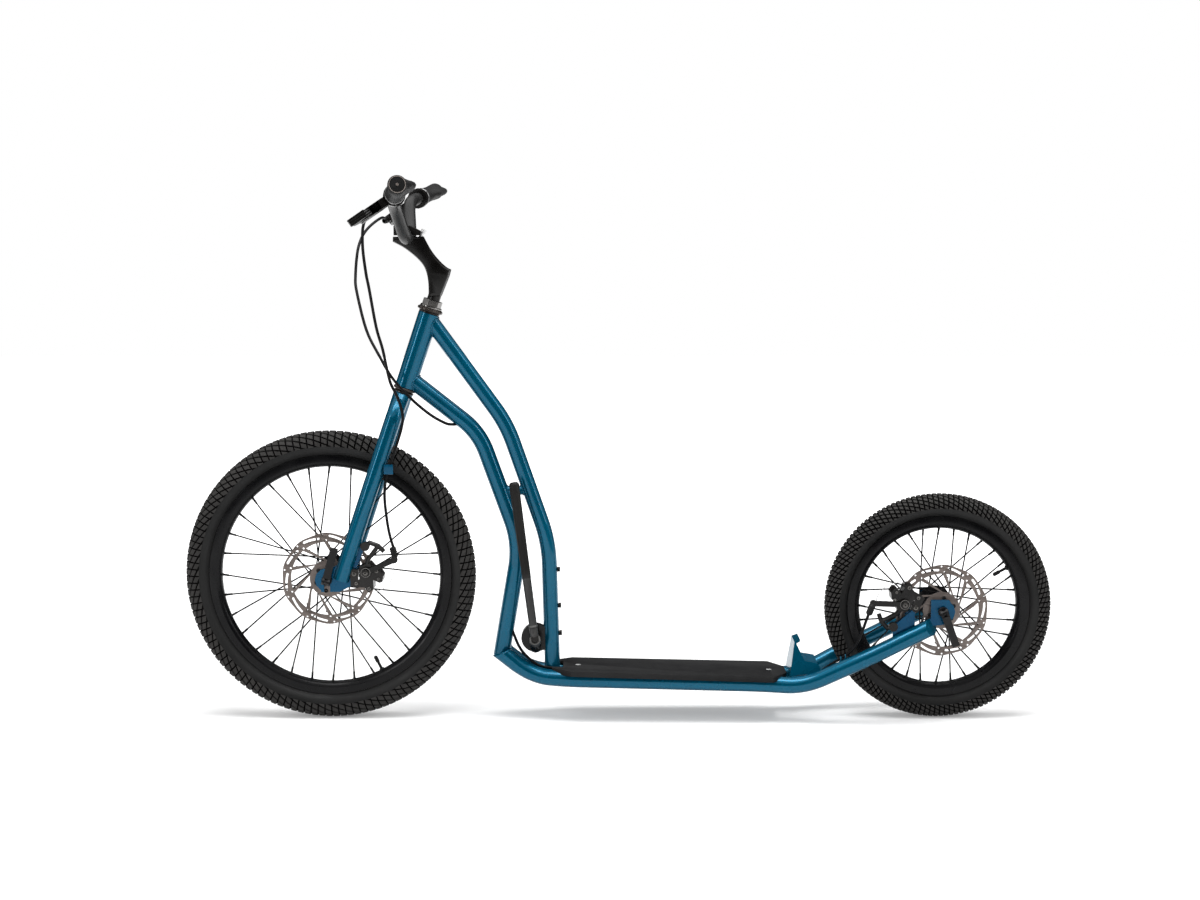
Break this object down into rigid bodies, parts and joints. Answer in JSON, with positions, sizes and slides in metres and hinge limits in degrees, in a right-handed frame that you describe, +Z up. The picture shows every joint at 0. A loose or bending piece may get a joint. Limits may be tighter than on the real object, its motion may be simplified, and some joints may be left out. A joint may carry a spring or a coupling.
{
  "type": "kick bike",
  "caption": "Footbike with a large front and small rear wheel, low footboard between two long tubes, cable disc brakes, upright handlebar and folding side stand.",
  "frame": {"origin": "on the ground at the middle of the bike's overall length and width", "axes": "+X to the rear wheel, -Y to the rider's left (disc brake side), +Z up"},
  "size_m": [1.511, 0.7054, 0.9379],
  "materials": {
    "frame_paint": "metallic teal-blue gloss paint",
    "black_metal": "satin black",
    "black_alloy": "satin black anodised",
    "bar_alloy": "satin anodised charcoal",
    "rotor_steel": "brushed brown-grey",
    "headset_chrome": "dark bronze chrome",
    "tyre_rubber": "matt black tread, grey-black sidewall",
    "soft_rubber": "matt black",
    "board_plastic": "fine grain black",
    "cable_jacket": "black"
  },
  "bodies": {
    "frame": {"head_tube": "frame_paint", "upper_main_tube": "frame_paint", "lower_main_tube": "frame_paint", "left_deck_tube": "frame_paint", "right_deck_tube": "frame_paint", "tube_bridge": "frame_paint", "left_rear_dropout": "frame_paint", "right_rear_dropout": "frame_paint", "heel_bracket": "frame_paint", "front_cross_plate": "frame_paint", "rear_cross_plate": "frame_paint", "footboard": "board_plastic", "footboard_front_screw": "rotor_steel", "footboard_rear_screw": "rotor_steel", "upper_headset_cup": "headset_chrome", "lower_headset_cup": "headset_chrome", "stand_bracket": "black_alloy", "upper_bottle_bolt": "black_metal", "lower_bottle_bolt": "black_metal", "stand_bracket_bolt": "black_metal", "rear_caliper": "black_alloy", "rear_brake_cable": "cable_jacket", "rear_axle": "black_metal", "rear_cable_boot": "soft_rubber", "rear_cable_loop": "cable_jacket"},
    "steering": {"fork_crown": "frame_paint", "left_fork_blade": "frame_paint", "right_fork_blade": "frame_paint", "left_fork_dropout": "frame_paint", "right_fork_dropout": "frame_paint", "headset_lock_nut": "headset_chrome", "quill_stem": "black_alloy", "stem_clamp_cap": "black_alloy", "stem_clamp_bolt": "rotor_steel", "handlebar": "bar_alloy", "left_grip": "soft_rubber", "right_grip": "soft_rubber", "left_lever_bracket": "black_alloy", "right_lever_bracket": "black_alloy", "front_brake_cable": "cable_jacket", "front_caliper": "black_alloy", "front_axle": "black_metal", "front_cable_boot": "soft_rubber"},
    "front_wheel": {"front_tyre": "tyre_rubber", "front_rim": "black_alloy", "front_spoked_hub": "black_alloy", "front_rotor": "rotor_steel", "front_valve": "cable_jacket"},
    "rear_wheel": {"rear_tyre": "tyre_rubber", "rear_rim": "black_alloy", "rear_spoked_hub": "black_alloy", "rear_rotor": "rotor_steel", "rear_valve": "cable_jacket"},
    "left_lever": {"left_brake_lever": "black_alloy"},
    "right_lever": {"right_brake_lever": "black_alloy"},
    "front_arm": {"front_caliper_arm": "black_alloy"},
    "rear_arm": {"rear_caliper_arm": "black_alloy"},
    "front_release": {"front_quick_release_lever": "black_metal"},
    "rear_release": {"rear_quick_release_lever": "black_metal"},
    "side_stand": {"kickstand_leg": "black_alloy"}
  },
  "joints": [
    {"name": "steering_turn", "type": "hinge", "parent": "frame", "child": "steering", "pos_m": [-0.36963, 0, 0.58082], "axis": [0.3156, 0, 0.9489], "range_deg": [-60, 60], "deforming": ["rear_cable_loop"]},
    {"name": "front_wheel_spin", "type": "hinge", "parent": "steering", "child": "front_wheel", "pos_m": [-0.5025, 0, 0.253], "axis": [0, 1, 0], "continuous": true},
    {"name": "rear_wheel_spin", "type": "hinge", "parent": "frame", "child": "rear_wheel", "pos_m": [0.5575, 0, 0.198], "axis": [0, 1, 0], "continuous": true},
    {"name": "left_lever_pull", "type": "hinge", "parent": "steering", "child": "left_lever", "pos_m": [-0.4033, -0.21457, 0.87854], "axis": [-0.5736, 0.0075, 0.8191], "range_deg": [0, 22], "stiffness_Nm_per_rad": 0.6, "springref_deg": -11.46},
    {"name": "right_lever_pull", "type": "hinge", "parent": "steering", "child": "right_lever", "pos_m": [-0.4033, 0.21457, 0.87854], "axis": [0.5736, 0.0075, -0.8191], "range_deg": [0, 22], "stiffness_Nm_per_rad": 0.6, "springref_deg": -11.46},
    {"name": "front_arm_pull", "type": "hinge", "parent": "steering", "child": "front_arm", "pos_m": [-0.4345, -0.064, 0.268], "axis": [0, -1, 0], "range_deg": [0, 11], "deforming": ["front_cable_boot"]},
    {"name": "rear_arm_pull", "type": "hinge", "parent": "frame", "child": "rear_arm", "pos_m": [0.4895, -0.069, 0.213], "axis": [0, -1, 0], "range_deg": [0, 11], "deforming": ["rear_cable_boot"]},
    {"name": "front_release_swing", "type": "hinge", "parent": "steering", "child": "front_release", "pos_m": [-0.5025, -0.0689, 0.253], "axis": [0.9659, 0, -0.2588], "range_deg": [0, 170]},
    {"name": "rear_release_swing", "type": "hinge", "parent": "frame", "child": "rear_release", "pos_m": [0.5575, -0.0739, 0.198], "axis": [-0.9397, 0, -0.342], "range_deg": [0, 170]},
    {"name": "side_stand_swing", "type": "hinge", "parent": "frame", "child": "side_stand", "pos_m": [-0.146, -0.029, 0.141], "axis": [0, -0.848, 0.5299], "range_deg": [0, 172]}
  ],
  "couplings": [
    {"joint": "front_arm_pull", "follows": "left_lever_pull", "ratio": 0.5},
    {"joint": "rear_arm_pull", "follows": "right_lever_pull", "ratio": 0.5}
  ]
}
